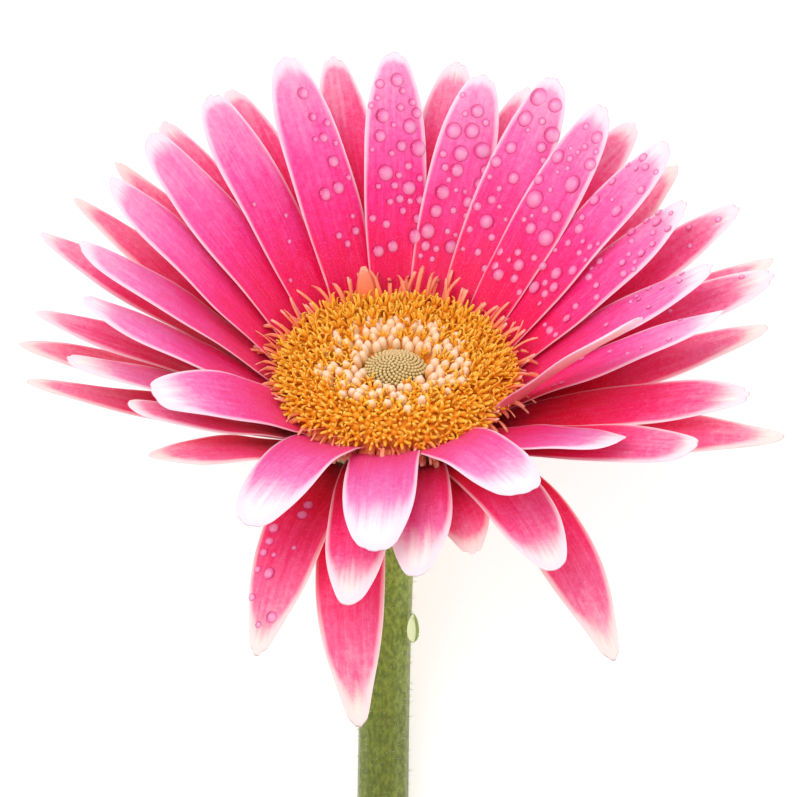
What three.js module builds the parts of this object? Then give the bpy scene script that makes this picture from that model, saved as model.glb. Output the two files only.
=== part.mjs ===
// A cut gerbera lying on a table: one flower head on a leafless stem with a plain cut end.
// Millimetres, +Z up from the table, +Y towards the head, the stem running along -Y.
// The origin is the middle of the bounding box, on the table.
import * as THREE from "three";

// ---- Driving dimensions ----

const STEM_REACH = 315; // from the middle of the disc back to the cut end, along the table
const STEM_NECK_RADIUS = 3.2; // just below the receptacle
const STEM_CUT_RADIUS = 4.4; // at the cut end, where a scape is thickest
const STEM_SWELL = 0.35; // below 1, so that the scape thickens quickly under the neck
const STEM_BOW = 3.2; // how far the scape wanders sideways as it lies
const NECK_GAP = 0.5; // between the receptacle's foot and the scape
const NECK_STRAIGHT = 8; // straight stretch below the receptacle, before the bend
const NECK_BEND_REACH = 46; // the neck's bend is over this far back from the middle of the disc
const FACE_LEAN = 53; // degrees that the face leans from straight up, towards the head end

const DROP_PLACE = 24; // along the scape from the receptacle to the drop of water
const DROP_TURN = 35; // degrees up from the side of the scape
const NECK_SWELLING = 0.5; // how much thicker the scape is there than at its neck
const DROP_HALF_WIDTH = 0.9;
const DROP_HALF_LENGTH = 2.2;

const RECEPTACLE_TOP = -4; // the plate's height below the disc's own level
const RECEPTACLE_DEPTH = 15.5; // from the plate down to the stem
const GAP = 0.3; // clearance between pieces that touch

const BUDS_RADIUS = 4.2; // the unopened florets in the middle of the disc
const BUDS_DOME = 2.5; // their height above the disc's own level
const PALE_RING = 6; // width of the ring of pale, half-open florets
const ORANGE_RING = 2; // width, at its foot, of the ring of open orange florets
const TRANS_RING = 0.7; // width, at its foot, of the crown of coral trans florets
const ORANGE_FLARE = 4.4; // how far the orange florets lean out over their foot
const CROWN_GAP = 0.45; // radial clearance between the flared orange florets and the crown
const CROWN_TO_RAYS = 1.15; // radial clearance between the crown and the steepest ray

// The plate is as wide as the florets that it carries.
const ORANGE_INSIDE = BUDS_RADIUS + GAP + PALE_RING + GAP;
const ORANGE_OUTSIDE = ORANGE_INSIDE + ORANGE_RING;
const RECEPTACLE_RADIUS = ORANGE_OUTSIDE + GAP + TRANS_RING;

const RAY_THICKNESS = 0.8; // in the middle of a ray floret
const RAY_ROOT_RADIUS = RECEPTACLE_RADIUS + 0.6; // where the ray florets start
const RAY_BASE_SHARE = 0.26; // width of a ray's claw, as a share of its widest place
const RAY_WIDEST_AT = 0.6; // share of a ray's length where it is widest
const WHORL_STEP = 1.4; // height between one whorl of rays and the next
const RAY_STATIONS = [0.02, 0.15, 0.32, 0.5, 0.66, 0.8, 0.9, 0.965]; // sections along a ray

const BRACT_THICKNESS = 0.6; // one row of the involucre
const BRACT_GAP = 0.5; // between one row and the next
const BRACT_COUNT = 18; // bracts in one row

// ---- Colours ----

const CRIMSON_PINK = 0xf2336b;
const ROSE_PINK = 0xf64c98;
const DEEP_ROSE = 0xf4417f;
const STEM_GREEN = 0x7c9a3c;
const BRACT_GREEN = 0x6d8a3a;
const FLORET_ORANGE = 0xff9a12;
const FLORET_PALE = 0xffc98a;
const BUD_BEIGE = 0xbfa765;
const TRANS_CORAL = 0xf77a5a;
const WATER = 0xdfe9ec;

// ---- The ray florets, one row each ----
// turn: direction of the root round the disc, in degrees, 0 to the right and 90 to the rear
// sweep: how far the tip swings round from the root's direction, in degrees
// rise: how far the tip stands above the disc's plane, seen from the root, in degrees
// length and width: in millimetres, straight from root to tip and at the widest place
// arch: how much steeper the root leaves than the tip stands; roll: twist about its own spine

const INNER_RAYS = [
  { turn: 90, sweep: 0, rise: 47, length: 43, width: 9.4, roll: 9 },
  { turn: 73, sweep: -1, rise: 45, length: 41, width: 9.2 },
  { turn: 58, sweep: -1, rise: 46, length: 43, width: 9, roll: 9 },
  { turn: 44, sweep: 1, rise: 46, length: 42, width: 8.8, roll: 3 },
  { turn: 30, sweep: 0, rise: 43, length: 43, width: 9, roll: 0 },
  { turn: 16, sweep: 4, rise: 39, length: 39, width: 8.6, roll: 0 },
  { turn: 2, sweep: 4, rise: 34, length: 38, width: 8.6, roll: -6 },
  { turn: -13, sweep: 4, rise: 33, length: 39, width: 8.4, roll: -6 },
  { turn: -27, sweep: 6, rise: 48, length: 34, width: 8.4, roll: -24 },
  { turn: -45, sweep: 6, rise: 26, length: 31, width: 9, roll: -8 },
  { turn: -68, sweep: 5, rise: 24, length: 31, width: 10, arch: 30 },
  { turn: -94, sweep: 0, rise: 13, length: 31, width: 10.4, arch: 34 },
  { turn: -120, sweep: 3, rise: 14, length: 31, width: 10.6, arch: 34 },
  { turn: -148, sweep: 2, rise: 34, length: 32, width: 10.4, arch: 16, roll: -12 },
  { turn: -168, sweep: -8, rise: 36, length: 37.5, width: 8.8 },
  { turn: 176, sweep: 3, rise: 41, length: 41, width: 9 },
  { turn: 160, sweep: 3, rise: 45, length: 41, width: 9 },
  { turn: 144, sweep: 3, rise: 46, length: 41.5, width: 9.2 },
  { turn: 127, sweep: 3, rise: 46, length: 42, width: 9.4 },
  { turn: 109, sweep: 4, rise: 47, length: 44, width: 9.8 },
];

const MIDDLE_RAYS = [
  { turn: 99, sweep: 2, rise: 37, length: 46, width: 8.6 },
  { turn: 81, sweep: -2, rise: 36.5, length: 45.2, width: 8.4 },
  { turn: 67, sweep: -1, rise: 37, length: 43, width: 8.6 },
  { turn: 49, sweep: -6, rise: 36, length: 44, width: 8.4 },
  { turn: 19, sweep: 1, rise: 30, length: 45, width: 8.6 },
  { turn: 8, sweep: -2, rise: 25, length: 45, width: 8.8 },
  { turn: -21, sweep: 2, rise: 22, length: 42, width: 9 },
  { turn: -39, sweep: 6, rise: 22, length: 40, width: 8.4 },
  { turn: -57, sweep: -7, rise: 6, length: 34, width: 9.4, arch: 24 },
  { turn: -81, sweep: -7, rise: 8, length: 31, width: 9.4, arch: 26 },
  { turn: -101, sweep: 5, rise: 0, length: 32, width: 9.2, arch: 24 },
  { turn: -142, sweep: -9, rise: 31, length: 35, width: 8.4 },
  { turn: -161, sweep: -4, rise: 29, length: 39, width: 8.6 },
  { turn: -176, sweep: 0, rise: 28, length: 42, width: 8.6 },
  { turn: 168, sweep: 0, rise: 31, length: 44.5, width: 8.8 },
  { turn: 134, sweep: 0, rise: 37, length: 43.5, width: 8.4 },
  { turn: 117, sweep: 3, rise: 37, length: 44, width: 8.6 },
];

const OUTER_RAYS = [
  { turn: 35, sweep: 3, rise: 30, length: 44, width: 8.6 },
  { turn: 13, sweep: 2, rise: 22, length: 46, width: 8.6 },
  { turn: -6, sweep: 4, rise: 24, length: 43, width: 8.8 },
  { turn: -30, sweep: 12, rise: 15, length: 46.5, width: 9.2, arch: 11 },
  { turn: -46, sweep: -9, rise: -20, length: 39, width: 9.2, arch: 34 },
  { turn: -69, sweep: -7, rise: 7, length: 24, width: 8.4, arch: 20 },
  { turn: -106, sweep: 14, rise: -30, length: 39, width: 10, arch: 38 },
  { turn: -119, sweep: 7, rise: -16, length: 35, width: 10, arch: 34 },
  { turn: -134, sweep: -9, rise: 25, length: 34, width: 8.6, arch: 12 },
  { turn: -157, sweep: -12, rise: 22, length: 43, width: 8.6 },
  { turn: -176, sweep: 1, rise: 22, length: 43, width: 8.6 },
  { turn: 154, sweep: 1, rise: 31, length: 44, width: 8 },
  { turn: 144, sweep: 2, rise: 35, length: 43.5, width: 8 },
];

const DEFAULT_ARCH = 5;
const SHINGLE_ROLL = 7; // each ray tucks one edge under the next, as shingles do

// ---- Helpers ----

const UP = new THREE.Vector3(0, 0, 1);
const radians = THREE.MathUtils.degToRad;

// A point round the head's axis, in the head's own frame.
function around(turn, radius, height) {
  const angle = radians(turn);
  return new THREE.Vector3(radius * Math.cos(angle), radius * Math.sin(angle), height);
}

// A unit direction that leaves at a turn round the axis and a rise above the disc's plane.
function heading(turn, rise) {
  return around(turn, Math.cos(radians(rise)), Math.sin(radians(rise)));
}

// One closed skin over rings of equally many points, with a pole at each end.
function closedSkin(firstPole, rings, lastPole) {
  const size = rings[0].length;
  const points = [firstPole, ...rings.flat(), lastPole];
  const last = points.length - 1;
  const faces = [];
  for (let i = 0; i < size; i++) {
    const next = (i + 1) % size;
    faces.push(0, 1 + next, 1 + i);
    for (let r = 0; r < rings.length - 1; r++) {
      const here = 1 + r * size;
      const there = here + size;
      faces.push(here + i, here + next, there + next, here + i, there + next, there + i);
    }
    const end = 1 + (rings.length - 1) * size;
    faces.push(end + i, end + next, last);
  }
  const skin = new THREE.BufferGeometry().setFromPoints(points);
  skin.setIndex(faces);
  skin.computeVertexNormals();
  return skin;
}

// A closed ring swept through columns of equally many points, the last joined to the first.
function closedRing(columns) {
  const size = columns[0].length;
  const faces = [];
  columns.forEach((_, c) => {
    const here = c * size;
    const there = ((c + 1) % columns.length) * size;
    for (let i = 0; i < size; i++) {
      const next = (i + 1) % size;
      faces.push(here + i, there + next, there + i, here + i, here + next, there + next);
    }
  });
  const ring = new THREE.BufferGeometry().setFromPoints(columns.flat());
  ring.setIndex(faces);
  ring.computeVertexNormals();
  return ring;
}

// A solid of revolution about the head's axis: radius and height pairs from axis to axis.
function turned(profile, segments) {
  const lathe = new THREE.LatheGeometry(
    profile.map(([radius, height]) => new THREE.Vector2(radius, height)),
    segments,
  );
  return lathe.rotateX(Math.PI / 2);
}

function piece(name, geometry, color, roughness) {
  const material = new THREE.MeshStandardMaterial({ color, roughness, metalness: 0 });
  const mesh = new THREE.Mesh(geometry, material);
  mesh.name = name;
  return mesh;
}

// ---- Ray florets ----

// Share of the full width at a share t of the length: a narrow claw, then an oval blade.
function rayOutline(t) {
  const swell = Math.sin((Math.PI / 2) * Math.min(t / RAY_WIDEST_AT, 1));
  const past = Math.max((t - RAY_WIDEST_AT) / (1 - RAY_WIDEST_AT), 0);
  return (RAY_BASE_SHARE + (1 - RAY_BASE_SHARE) * swell ** 1.2) * Math.sqrt(1 - past ** 2.4);
}

// A shallow channel near the root that flattens and turns over a little at the tip.
function rayCup(t) {
  return 0.2 - 0.35 * t;
}

// Height of the roots of one whorl, counted from the innermost.
function rootHeight(whorl) {
  return RECEPTACLE_TOP - RAY_THICKNESS - whorl * WHORL_STEP;
}

function rayGeometry(ray, whorl) {
  const { turn, sweep, rise, length, width, arch = DEFAULT_ARCH, roll = SHINGLE_ROLL } = ray;
  const root = around(turn, RAY_ROOT_RADIUS, rootHeight(whorl));
  const tip = root.clone().addScaledVector(heading(turn + sweep, rise), length);
  const knee = root.clone().addScaledVector(heading(turn + sweep / 4, rise + arch), length * 0.5);
  const spine = new THREE.QuadraticBezierCurve3(root, knee, tip);
  const rings = RAY_STATIONS.map((t) => {
    const along = spine.getTangent(t);
    const twist = radians(roll) * THREE.MathUtils.smoothstep(t, -0.1, 0.3);
    const across = new THREE.Vector3().crossVectors(UP, along).normalize();
    across.applyAxisAngle(along, twist);
    const out = new THREE.Vector3().crossVectors(along, across);
    const half = (width / 2) * rayOutline(t);
    const point = (share, side) =>
      spine
        .getPoint(t)
        .addScaledVector(across, share * half)
        .addScaledVector(out, rayCup(t) * half * share * share)
        .addScaledVector(out, (side * RAY_THICKNESS * (1 - share * share)) / 2);
    return [
      point(1, 0),
      point(0.5, 1),
      point(0, 1),
      point(-0.5, 1),
      point(-1, 0),
      point(-0.5, -1),
      point(0, -1),
      point(0.5, -1),
    ];
  });
  return closedSkin(root, rings, tip);
}

function rayWhorl(rays, whorl, name, color) {
  return rays.map((ray, i) => {
    const number = String(i + 1).padStart(2, "0");
    return piece(`${name}_${number}`, rayGeometry(ray, whorl), color, 0.5);
  });
}

// ---- Disc ----

const BED = RECEPTACLE_TOP + GAP; // underside of every floret ring

function discBuds() {
  const profile = [
    [0, BED],
    [BUDS_RADIUS, BED],
    [BUDS_RADIUS, -0.4],
    [BUDS_RADIUS * 0.88, BUDS_DOME * 0.36],
    [BUDS_RADIUS * 0.5, BUDS_DOME * 0.84],
    [0, BUDS_DOME],
  ];
  return piece("disc_buds", turned(profile, 20), BUD_BEIGE, 0.8);
}

function paleFlorets() {
  const inside = BUDS_RADIUS + GAP;
  const outside = inside + PALE_RING;
  const profile = [
    [inside, BED],
    [outside, BED],
    [outside, 1.1],
    [outside - 1, 1.4],
    [(inside + outside) / 2, 1],
    [inside + 0.4, 0],
    [inside, -0.8],
    [inside, BED],
  ];
  return piece("disc_florets_pale", turned(profile, 28), FLORET_PALE, 0.7);
}

const WAIST = -0.6; // height at which the orange florets and the crown start to flare faster
const FLARE_TOP = 2; // height of the orange florets' tips
const CROWN_TOP = 3; // height of the crown's tips

// Radius of the orange florets' outer face at a height above their waist.
function orangeFace(height) {
  const share = (height - WAIST) / (FLARE_TOP - WAIST);
  return ORANGE_OUTSIDE + ORANGE_FLARE * (0.5 + 0.5 * share);
}

function orangeFlorets() {
  const profile = [
    [ORANGE_INSIDE, BED],
    [ORANGE_OUTSIDE, BED],
    [orangeFace(WAIST), WAIST],
    [orangeFace(FLARE_TOP), FLARE_TOP],
    [orangeFace(FLARE_TOP) - 2.6, FLARE_TOP + 0.2],
    [ORANGE_INSIDE + 1.6, 1.8],
    [ORANGE_INSIDE + 0.5, 1],
    [ORANGE_INSIDE, BED],
  ];
  return piece("disc_florets_orange", turned(profile, 36), FLORET_ORANGE, 0.7);
}

// The crown fills the space between the orange florets and the steepest of the inner rays.
function transFlorets() {
  const steepest = Math.max(...INNER_RAYS.map(({ rise, arch = DEFAULT_ARCH }) => rise + arch));
  const outerFace = (height) =>
    RAY_ROOT_RADIUS + (height - rootHeight(0)) / Math.tan(radians(steepest)) - CROWN_TO_RAYS;
  const profile = [
    [ORANGE_OUTSIDE + GAP, BED],
    [RECEPTACLE_RADIUS, BED],
    [outerFace(WAIST), WAIST],
    [outerFace(CROWN_TOP), CROWN_TOP],
    [outerFace(CROWN_TOP) - 0.9, CROWN_TOP + 0.2],
    [orangeFace(FLARE_TOP) + CROWN_GAP, FLARE_TOP],
    [orangeFace(WAIST) + CROWN_GAP, WAIST],
    [ORANGE_OUTSIDE + GAP, BED],
  ];
  return piece("trans_florets", turned(profile, 36), TRANS_CORAL, 0.6);
}

// ---- Receptacle and involucre ----

const CUP_FOOT = RECEPTACLE_TOP - RECEPTACLE_DEPTH;
const CUP_RIM = rootHeight(2) - RAY_THICKNESS; // just below the outer rays' roots

// Radius of the receptacle's cup at a share of the way from its foot to its rim.
function cupRadius(share) {
  const swell = Math.sin((Math.PI / 2) * share);
  return STEM_NECK_RADIUS + (RECEPTACLE_RADIUS - STEM_NECK_RADIUS) * swell ** 0.9;
}

function cupHeight(share) {
  return CUP_FOOT + (CUP_RIM - CUP_FOOT) * share;
}

function receptacle() {
  const cup = [0, 0.12, 0.25, 0.4, 0.55, 0.7, 0.85, 1].map((share) => [cupRadius(share), cupHeight(share)]);
  const profile = [
    [0, CUP_FOOT],
    ...cup,
    [RECEPTACLE_RADIUS, RECEPTACLE_TOP],
    [0, RECEPTACLE_TOP],
  ];
  return piece("receptacle", turned(profile, 2 * BRACT_COUNT), BRACT_GREEN, 0.7);
}

// One row of bracts, joined at the foot: a thin cup whose rim is cut into points.
function bractRow(name, row, footShare, valleyShare, tipShare) {
  const clearance = BRACT_GAP + row * (BRACT_THICKNESS + BRACT_GAP);
  const steps = BRACT_COUNT * 2;
  const wall = (share, away, i) =>
    around((360 * (i + row)) / steps, cupRadius(share) + clearance + away, cupHeight(share));
  const levels = [0, 0.3, 0.65, 1];
  const columns = [];
  for (let i = 0; i < steps; i++) {
    const top = i % 2 ? valleyShare : tipShare;
    const shares = levels.map((level) => footShare + (top - footShare) * level);
    const inside = shares.map((share) => wall(share, 0, i));
    const outside = shares.map((share) => wall(share, BRACT_THICKNESS, i)).reverse();
    columns.push([...inside, ...outside]);
  }
  return piece(name, closedRing(columns), BRACT_GREEN, 0.75);
}

// ---- Head ----

function flowerHead() {
  const head = new THREE.Group();
  head.add(
    ...rayWhorl(INNER_RAYS, 0, "ray_inner", ROSE_PINK),
    ...rayWhorl(MIDDLE_RAYS, 1, "ray_middle", DEEP_ROSE),
    ...rayWhorl(OUTER_RAYS, 2, "ray_outer", CRIMSON_PINK),
    discBuds(),
    paleFlorets(),
    orangeFlorets(),
    transFlorets(),
    receptacle(),
    bractRow("involucre_inner", 0, 0.45, 0.75, 0.97),
    bractRow("involucre_middle", 1, 0.25, 0.58, 0.82),
    bractRow("involucre_outer", 2, 0.1, 0.4, 0.64),
  );
  head.rotation.x = -radians(FACE_LEAN);
  return head;
}

// ---- Stem ----

// The scape's centre line: out of the receptacle along the head's axis, round the neck's bend,
// then down to the table at the cut end.
function stemPath(tableHeight) {
  const back = new THREE.Vector3(0, -Math.sin(radians(FACE_LEAN)), -Math.cos(radians(FACE_LEAN)));
  const neck = back.clone().multiplyScalar(NECK_GAP - CUP_FOOT);
  const lowered = back.clone().multiplyScalar(NECK_GAP - CUP_FOOT + NECK_STRAIGHT);
  lowered.x = -STEM_BOW / 5;
  const lying = tableHeight + STEM_CUT_RADIUS;
  const settle = lying + 1.6;
  return new THREE.CatmullRomCurve3([
    neck,
    lowered,
    new THREE.Vector3(-STEM_BOW / 2, -NECK_BEND_REACH, settle),
    new THREE.Vector3(-STEM_BOW / 2, -NECK_BEND_REACH - 50, lying + 1.2),
    new THREE.Vector3(STEM_BOW, -0.55 * STEM_REACH, lying + 0.6),
    new THREE.Vector3(STEM_BOW / 2, -0.8 * STEM_REACH, lying + 0.2),
    new THREE.Vector3(-STEM_BOW / 2, -STEM_REACH, lying),
  ]);
}

function stem(tableHeight) {
  const path = stemPath(tableHeight);
  const sides = 14;
  const steps = 44;
  const rings = [];
  for (let step = 0; step <= steps; step++) {
    const share = step / steps;
    const along = path.getTangentAt(share);
    const across = new THREE.Vector3(1, 0, 0).addScaledVector(along, -along.x).normalize();
    const out = new THREE.Vector3().crossVectors(along, across);
    const radius = THREE.MathUtils.lerp(STEM_NECK_RADIUS, STEM_CUT_RADIUS, share ** STEM_SWELL);
    const ring = [];
    for (let i = 0; i < sides; i++) {
      const angle = (2 * Math.PI * i) / sides;
      const centre = path.getPointAt(share);
      centre.addScaledVector(across, radius * Math.cos(angle));
      ring.push(centre.addScaledVector(out, radius * Math.sin(angle)));
    }
    rings.push(ring);
  }
  return piece("stem", closedSkin(path.getPointAt(0), rings, path.getPointAt(1)), STEM_GREEN, 0.6);
}

// A drop of water clinging to the side of the neck, just clear of the skin.
function stemDrop(tableHeight) {
  const path = stemPath(tableHeight);
  const place = path.getPointAt(DROP_PLACE / path.getLength());
  const away = STEM_NECK_RADIUS + NECK_SWELLING + GAP + DROP_HALF_WIDTH;
  place.x += away * Math.cos(radians(DROP_TURN));
  place.z += away * Math.sin(radians(DROP_TURN));
  const drop = new THREE.SphereGeometry(1, 12, 8);
  drop.scale(DROP_HALF_WIDTH, DROP_HALF_LENGTH, DROP_HALF_WIDTH);
  drop.translate(place.x, place.y, place.z);
  return piece("stem_droplet", drop, WATER, 0.1);
}

// ---- Whole flower ----

const flower = new THREE.Group();
const head = flowerHead();
flower.add(head);
flower.updateMatrixWorld(true);
const tableHeight = new THREE.Box3().setFromObject(head, true).min.z;
flower.add(stem(tableHeight), stemDrop(tableHeight));

const group = new THREE.Group();
group.add(flower);
const bounds = new THREE.Box3().setFromObject(group, true);
const middle = bounds.getCenter(new THREE.Vector3());
flower.position.set(-middle.x, -middle.y, -bounds.min.z);

export default group;
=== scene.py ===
# A cut gerbera lying on a pale table, with drops of water on its rays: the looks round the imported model.
# Metres, in the model's own frame: +Z up from the table, +Y towards the head, the stem along -Y.
import math
import random

import bmesh
import bpy
import numpy as np
from mathutils import Matrix, Vector


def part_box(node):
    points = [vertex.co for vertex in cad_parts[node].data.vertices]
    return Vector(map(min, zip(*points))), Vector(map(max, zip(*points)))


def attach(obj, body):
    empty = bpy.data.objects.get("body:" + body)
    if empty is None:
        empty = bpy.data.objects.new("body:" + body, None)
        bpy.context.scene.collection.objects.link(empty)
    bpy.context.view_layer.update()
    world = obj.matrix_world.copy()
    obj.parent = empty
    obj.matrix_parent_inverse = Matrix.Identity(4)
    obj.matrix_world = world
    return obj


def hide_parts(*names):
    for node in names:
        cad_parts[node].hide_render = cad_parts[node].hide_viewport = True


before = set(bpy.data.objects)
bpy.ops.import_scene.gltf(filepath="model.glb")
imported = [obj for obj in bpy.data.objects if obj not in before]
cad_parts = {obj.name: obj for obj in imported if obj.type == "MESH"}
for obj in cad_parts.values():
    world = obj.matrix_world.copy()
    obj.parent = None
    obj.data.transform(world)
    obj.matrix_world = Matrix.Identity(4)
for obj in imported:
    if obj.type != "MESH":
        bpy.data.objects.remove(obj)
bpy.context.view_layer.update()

MM = 0.001

# ---- Camera ----

CAMERA_HEIGHT = 850 * MM  # above the middle of the disc
FIELD_WIDTH = 116 * MM  # what the picture spans at the disc's own level
SENSOR = 36.0
AIM_RIGHT = 0.7 * MM  # from the middle of the disc to the middle of the picture
AIM_REAR = -3.84 * MM

# ---- Rays ----

PLATE_TO_DISC = 4 * MM  # from the receptacle's plate to the disc's own level
MIDDLE_SECTION = 4  # the CAD section half-way along a ray's spine, counted from its root
WIDTH_AT_MIDDLE = 0.97  # share of the full width there
ROLL_FROM = -0.1  # a ray turns about its own spine between these shares of its length
ROLL_TO = 0.3
CLAW_SHARE = 0.4  # width at the root, as a share of the widest place
BROAD_CLAW_SHARE = 0.78
OUTLINES = {  # widest place along a ray, how much of the width is gone at its tip, and how suddenly
    "inner": (0.6, 0.38, 3.0),
    "middle": (0.58, 0.44, 2.8),
    "outer": (0.55, 0.52, 2.6),
}
SHOULDER = 0.65  # how slowly a ray widens from its claw
BROAD_SHOULDER = 0.3
BROAD_RAYS = {"inner": (11, 12, 13, 14), "middle": (9, 10, 11), "outer": ()}  # broad right from the disc
BROADER = {  # the rays that are broader than their solids, and how much
    ("inner", 16): 1.08,
    ("inner", 17): 1.24,
    ("inner", 18): 1.22,
    ("inner", 19): 1.06,
}
TURNED_RAY = ("inner", 9)  # it stands on edge and shows its bare back
RAY_THICKNESS = 0.5 * MM
GROOVE_AT = 0.36  # the two grooves along a ray, as a share of its half width
GROOVE_WIDTH = 0.09
GROOVE_DEPTH = 0.13 * MM
TOOTH_WIDTH = 0.13  # of the notches at the tip, as a share of the half width
EDGE_WAVE = 0.24 * MM
SPINE_STEPS = 40  # for measuring a ray's length
RAY_ROWS = 46
RAY_COLUMNS = 21
USUAL_TIP = 2.2  # length of a ray's pale tip, in millimetres
PALE_TIPS = {  # the rays whose pale tips are longer or shorter than that
    "inner": {
        1: 1.2, 2: 1.5, 3: 1.6, 5: 3, 6: 3, 7: 3.5, 8: 3, 9: 3,
        10: 3, 11: 4, 12: 5.6, 13: 5.6, 14: 4, 15: 3, 19: 1.4,
    },
    "middle": {1: 1.4, 5: 3, 6: 3.6, 7: 3.6, 9: 3.4, 10: 5, 11: 4, 12: 1.6, 13: 4.4, 17: 1.4},
    "outer": {2: 2.6, 3: 2.6, 4: 3, 5: 3.4, 7: 3.2, 8: 2.6, 13: 2.6},
}
VIOLET = {  # share of lilac in the rays that have any
    "inner": {7: 0.3, 8: 0.3, 10: 0.4, 11: 0.7, 12: 0.9, 13: 0.8, 14: 0.5, 15: 0.3, 16: 0.3},
    "middle": {10: 0.3, 13: 0.4},
    "outer": {},
}

# ---- Disc, in millimetres from its middle ----

GOLDEN_ANGLE = math.pi * (3 - math.sqrt(5))
BUDS_TO = 4.5  # the tight buds fill the middle out to here
BUD_SPACING = 0.3
BUD_DOME = 2.2  # height of the buds in the middle
BUD_FALL = 0.07  # how fast that height falls with the radius squared
MIXED_FROM = 4.7  # a spiral of shut and open florets together
MIXED_TO = 10.4
MIXED_SPACING = 0.72
OPEN_FROM = 9.8  # a second spiral, of open florets only
OPEN_BAND = 7.6
OPEN_SPACING = 0.92
PALE_ZONES = ((4.6, 6.9, 0.85), (7.6, 10.4, 0.6))  # radii, and the share of shut florets between them
USUAL_PALE = 0.12  # that share elsewhere
BED_PROFILE = (  # radius and height of the mound that the open florets stand in
    (4.2, -0.8), (5.5, 0.1), (8, 0.5), (11, 0.9), (14, 0.7),
    (16.3, 0.0), (17.3, -1.4), (16.4, -3.2), (4.4, -3.4),
)
BED_SIDES = 90
FRINGE_COUNT = 132
FRINGE_STEPS = 10
FRINGE_SIDES = 8
FRONT_COUNT = 70  # more strips, along the front edge between these two turns in degrees
FRONT_FROM = 222
FRONT_TO = 318
TONGUE_AT = math.radians(105)  # one broad floret among the fringe
CURLED_TAPER = (0.9, 1, 1, 1, 1, 1, 1, 1, 0.95, 0.7)  # shares of a strip's width, foot to tip
FRONT_TAPER = (0.9, 1, 1, 1, 1, 1, 1, 1, 0.9, 0.6)
TONGUE_TAPER = (0.8, 0.9, 1, 1, 1, 0.96, 0.86, 0.7, 0.5, 0.25)

# ---- Bracts, stem, water and studio ----

BRACTS_IN_ROW = 18
BRACT_STANDOFF = 0.75  # millimetres from the cup to the innermost row
BRACT_ROW_STEP = 1.1  # and from one row to the next
STEM_STEPS = 300
STEM_SIDES = 60
STEM_FIT = 0.985  # share of the solid's radius, which leaves room for the ribs
SMOOTH_OVER = 9  # steps of the centre line that are averaged
CUT_RINGS = ((0.9, 0.0), (0.55, 0.35), (0.25, 0.9))  # share of the cut end's radius, and hollow in mm
HAIR_COUNT = 3200
HAIR_CLEARANCE = 0.1 * MM  # between a hair's tip and the table
DROP_ROWS = 6
DROP_SIDES = 16
MOST_TRIES = 600  # at finding places for the drops on one ray
# the way the key light travels, which sets where the drops' painted shade and painted light fall
FROM_LIGHT = Vector((0.6, -0.7, -0.35)).normalized()
DROPS = {  # the most that stand on a ray, the largest radius in millimetres, and the band across it
    ("inner", 1): (34, 1.3, -0.85, 0.85),
    ("inner", 2): (30, 1.35, -0.85, 0.85),
    ("inner", 3): (26, 1.45, -0.85, 0.85),
    ("inner", 4): (28, 1.45, -0.85, 0.85),
    ("inner", 5): (28, 1.15, -0.85, 0.85),
    ("inner", 6): (30, 0.8, -0.85, 0.85),
    ("inner", 7): (10, 0.5, -0.8, 0.8),
    ("inner", 8): (8, 0.5, -0.8, 0.8),
    ("inner", 20): (14, 1.0, -0.85, 0.1),
    ("inner", 19): (4, 0.45, -0.8, 0.8),
    ("middle", 5): (5, 0.6, -0.7, 0.7),
    ("middle", 6): (4, 0.5, -0.7, 0.7),
    ("outer", 8): (12, 0.9, -0.85, 0.4),
    ("middle", 8): (4, 0.4, -0.7, 0.7),
}
TABLE_HALF = 8.0  # metres
WORLD_STRENGTH = 0.74
LIGHTS = (  # name, strength, apparent width in degrees, and the direction that it comes from
    ("key", 1.3, 45, Vector((-0.5, 0.55, 1.0))),
    ("fill", 0.8, 60, Vector((1.0, -0.25, 0.4))),
)

rng = random.Random(7)


# ---- Small helpers ----

def smooth(low, high, value):
    """0 below low, 1 above high, and an even curve between them."""
    share = np.clip((value - low) / (high - low), 0, 1)
    return share * share * (3 - 2 * share)


def mix(a, b, share):
    return a + (b - a) * share


def paint(code):
    """A colour written as six hexadecimal digits, as linear light."""
    parts = [int(code[i : i + 2], 16) / 255 for i in (0, 2, 4)]
    linear = [c / 12.92 if c <= 0.04045 else ((c + 0.055) / 1.055) ** 2.4 for c in parts]
    return (*linear, 1.0)


def unit(vectors):
    return vectors / np.linalg.norm(vectors, axis=-1, keepdims=True)


def linked(name, data):
    """A new object in the scene that holds the data."""
    made = bpy.data.objects.new(name, data)
    bpy.context.scene.collection.objects.link(made)
    return made


def write_values(mesh, key, column):
    """Gives each point of the mesh its number or vector, under the name key."""
    kind = "FLOAT" if np.ndim(column[0]) == 0 else "FLOAT_VECTOR"
    field = "value" if kind == "FLOAT" else "vector"
    data = mesh.attributes.new(key, kind, "POINT").data
    data.foreach_set(field, np.array(column, np.float32).ravel())


class Shape:
    """Points, faces and values per point, gathered from many small forms into one piece."""

    def __init__(self):
        self.points = []
        self.faces = []
        self.values = {}

    def add(self, points, faces, **values):
        start = len(self.points)
        self.points.extend(points)
        self.faces.extend([start + i for i in face] for face in faces)
        for key, value in values.items():
            column = value if isinstance(value, list) else [value] * len(points)
            self.values.setdefault(key, []).extend(column)

    def piece(self, name, slot, material, *nodes):
        mesh = bpy.data.meshes.new(name)
        mesh.from_pydata(self.points, [], self.faces)
        for key, column in self.values.items():
            write_values(mesh, key, column)
        place_piece(name, mesh, slot, material, *nodes)


def place_piece(name, mesh, slot, material, *nodes):
    mesh.shade_smooth()
    mesh.materials.append(material)
    made = linked(name, mesh)
    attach(made, "root")
    if nodes:
        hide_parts(*nodes)


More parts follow.
